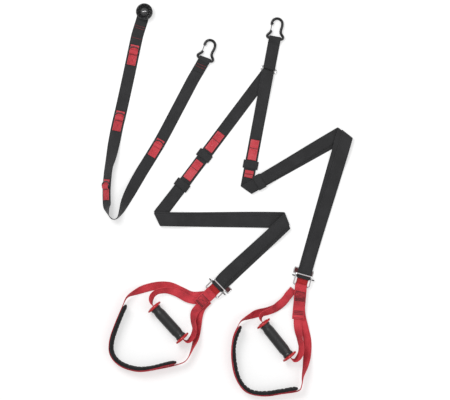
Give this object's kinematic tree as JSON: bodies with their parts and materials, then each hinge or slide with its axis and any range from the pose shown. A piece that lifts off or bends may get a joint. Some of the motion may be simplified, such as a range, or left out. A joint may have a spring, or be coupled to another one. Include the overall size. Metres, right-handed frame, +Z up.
{
  "type": "suspension trainer",
  "caption": "Two-legged strap trainer with folded webbing legs, adjusting buckles, grips and padded foot cradles, and a door anchor strap with ring tabs and a carabiner",
  "frame": {"origin": "centre of the bounding box in X and Y, on the surface that the straps lie on", "axes": "+X to the right of the laid-out straps, +Y toward the top carabiner, +Z up off the surface"},
  "size_m": [0.7904, 1.2336, 0.0513],
  "materials": {
    "black_webbing": "flat woven webbing, slight sheen",
    "red_webbing": "flat woven webbing, slight sheen",
    "pad_fabric": "matt padded cloth with red bound edges",
    "black_plastic": "satin moulded",
    "red_plastic": "gloss moulded",
    "release_plastic": "satin moulded",
    "rubber": "matt, finely textured",
    "black_metal": "black satin coating",
    "chrome": "polished"
  },
  "bodies": {
    "legs": {"leg_webbing": "black_webbing", "apex_ring": "chrome", "left_lower_keeper": "black_webbing", "left_upper_marker": "red_webbing", "left_lower_marker": "red_webbing", "left_buckle_frame": "chrome", "right_lower_keeper": "black_webbing", "right_upper_marker": "red_webbing", "right_lower_marker": "red_webbing", "right_buckle_frame": "chrome"},
    "top_loop": {"top_loop_webbing": "black_webbing"},
    "top_carabiner": {"top_carabiner": "black_metal"},
    "top_gate": {"top_gate": "black_metal"},
    "left_keeper": {"left_upper_keeper": "black_webbing"},
    "left_bar": {"left_floating_bar": "black_metal"},
    "left_release": {"left_release_tab": "release_plastic", "left_release_wire": "chrome"},
    "left_handle": {"left_yoke": "red_webbing", "left_handle_strap": "red_webbing", "left_cradle_strap": "red_webbing", "left_foot_pad": "pad_fabric"},
    "left_grip": {"left_grip_sleeve": "rubber", "left_grip_core": "black_plastic", "left_near_flange": "red_plastic", "left_far_flange": "red_plastic"},
    "right_keeper": {"right_upper_keeper": "black_webbing"},
    "right_bar": {"right_floating_bar": "black_metal"},
    "right_release": {"right_release_tab": "release_plastic", "right_release_wire": "chrome"},
    "right_handle": {"right_yoke": "red_webbing", "right_handle_strap": "red_webbing", "right_cradle_strap": "red_webbing", "right_foot_pad": "pad_fabric"},
    "right_grip": {"right_grip_sleeve": "rubber", "right_grip_core": "black_plastic", "right_near_flange": "red_plastic", "right_far_flange": "red_plastic"},
    "anchor_strap": {"anchor_webbing": "black_webbing", "anchor_disc": "black_plastic", "anchor_tab_1": "red_webbing", "anchor_tab_2": "red_webbing", "anchor_tab_3": "red_webbing", "anchor_tab_4": "red_webbing"},
    "anchor_carabiner": {"anchor_carabiner": "black_metal"},
    "anchor_gate": {"anchor_gate": "chrome"},
    "anchor_d_ring_1": {"anchor_d_ring_1": "black_metal"},
    "anchor_d_ring_2": {"anchor_d_ring_2": "black_metal"},
    "anchor_d_ring_3": {"anchor_d_ring_3": "black_metal"},
    "anchor_d_ring_4": {"anchor_d_ring_4": "black_metal"}
  },
  "joints": [
    {"name": "top_loop_lift", "type": "hinge", "parent": "legs", "child": "top_loop", "pos_m": [0.13129, 0.41511, 0.0051], "axis": [0.9511, -0.309, 0], "range_deg": [0, 60]},
    {"name": "top_carabiner_lift", "type": "hinge", "parent": "top_loop", "child": "top_carabiner", "pos_m": [0.14899, 0.50778, 0.0071], "axis": [0.9883, -0.1527, 0], "range_deg": [0, 80]},
    {"name": "top_gate_press", "type": "hinge", "parent": "top_carabiner", "child": "top_gate", "pos_m": [0.13475, 0.52692, 0.0071], "axis": [0, 0, -1], "range_deg": [0, 25], "stiffness_Nm_per_rad": 0.02, "springref_deg": -8.59},
    {"name": "left_keeper_slide", "type": "slide", "parent": "legs", "child": "left_keeper", "axis": [-0.604, -0.797, 0], "range_m": [0, 0.005]},
    {"name": "left_bar_roll", "type": "hinge", "parent": "legs", "child": "left_bar", "pos_m": [-0.03213, -0.27342, 0.0076], "axis": [0.6971, -0.717, 0], "continuous": true},
    {"name": "left_release_drop", "type": "hinge", "parent": "legs", "child": "left_release", "pos_m": [-0.02046, -0.27323, 0.0014], "axis": [-0.6971, 0.717, 0], "range_deg": [0, 40]},
    {"name": "left_handle_lift", "type": "hinge", "parent": "legs", "child": "left_handle", "pos_m": [-0.05077, -0.29154, 0.00812], "axis": [-0.6971, 0.717, 0], "range_deg": [0, 45]},
    {"name": "left_grip_spin", "type": "hinge", "parent": "left_handle", "child": "left_grip", "pos_m": [-0.18601, -0.3854, 0.0258], "axis": [0.6691, -0.7432, 0], "continuous": true},
    {"name": "right_keeper_slide", "type": "slide", "parent": "legs", "child": "right_keeper", "axis": [-0.1833, -0.9831, 0], "range_m": [0, 0.005]},
    {"name": "right_bar_roll", "type": "hinge", "parent": "legs", "child": "right_bar", "pos_m": [0.23846, -0.24507, 0.0076], "axis": [0.9633, -0.2685, 0], "continuous": true},
    {"name": "right_release_drop", "type": "hinge", "parent": "legs", "child": "right_release", "pos_m": [0.23689, -0.23581, 0.0014], "axis": [-0.9633, 0.2685, 0], "range_deg": [0, 40]},
    {"name": "right_handle_lift", "type": "hinge", "parent": "legs", "child": "right_handle", "pos_m": [0.23147, -0.27011, 0.00812], "axis": [-0.9633, 0.2685, 0], "range_deg": [0, 45]},
    {"name": "right_grip_spin", "type": "hinge", "parent": "right_handle", "child": "right_grip", "pos_m": [0.15372, -0.4399, 0.0258], "axis": [0.6202, -0.7845, 0], "continuous": true},
    {"name": "anchor_lift", "type": "slide", "parent": "legs", "child": "anchor_strap", "axis": [0, 0, 1], "range_m": [0, 0.3]},
    {"name": "anchor_carabiner_lift", "type": "hinge", "parent": "anchor_strap", "child": "anchor_carabiner", "pos_m": [-0.0715, 0.44226, 0.0071], "axis": [0.9391, -0.3436, 0], "range_deg": [0, 80]},
    {"name": "anchor_gate_press", "type": "hinge", "parent": "anchor_carabiner", "child": "anchor_gate", "pos_m": [-0.08172, 0.46382, 0.0071], "axis": [0, 0, -1], "range_deg": [0, 25], "stiffness_Nm_per_rad": 0.02, "springref_deg": -8.59},
    {"name": "anchor_d_ring_1_lift", "type": "hinge", "parent": "anchor_strap", "child": "anchor_d_ring_1", "pos_m": [-0.29566, 0.46484, 0.0061], "axis": [0.9786, -0.2056, 0], "range_deg": [0, 150]},
    {"name": "anchor_d_ring_2_lift", "type": "hinge", "parent": "anchor_strap", "child": "anchor_d_ring_2", "pos_m": [-0.34113, 0.25701, 0.0061], "axis": [0.9725, -0.2327, 0], "range_deg": [0, 150]},
    {"name": "anchor_d_ring_3_lift", "type": "hinge", "parent": "anchor_strap", "child": "anchor_d_ring_3", "pos_m": [-0.3833, 0.04109, 0.01804], "axis": [0.6937, -0.0368, 0.7194], "range_deg": [0, 150]},
    {"name": "anchor_d_ring_4_lift", "type": "hinge", "parent": "anchor_strap", "child": "anchor_d_ring_4", "pos_m": [-0.21986, 0.17032, 0.0061], "axis": [0.8614, -0.5079, 0], "range_deg": [0, 150]}
  ]
}
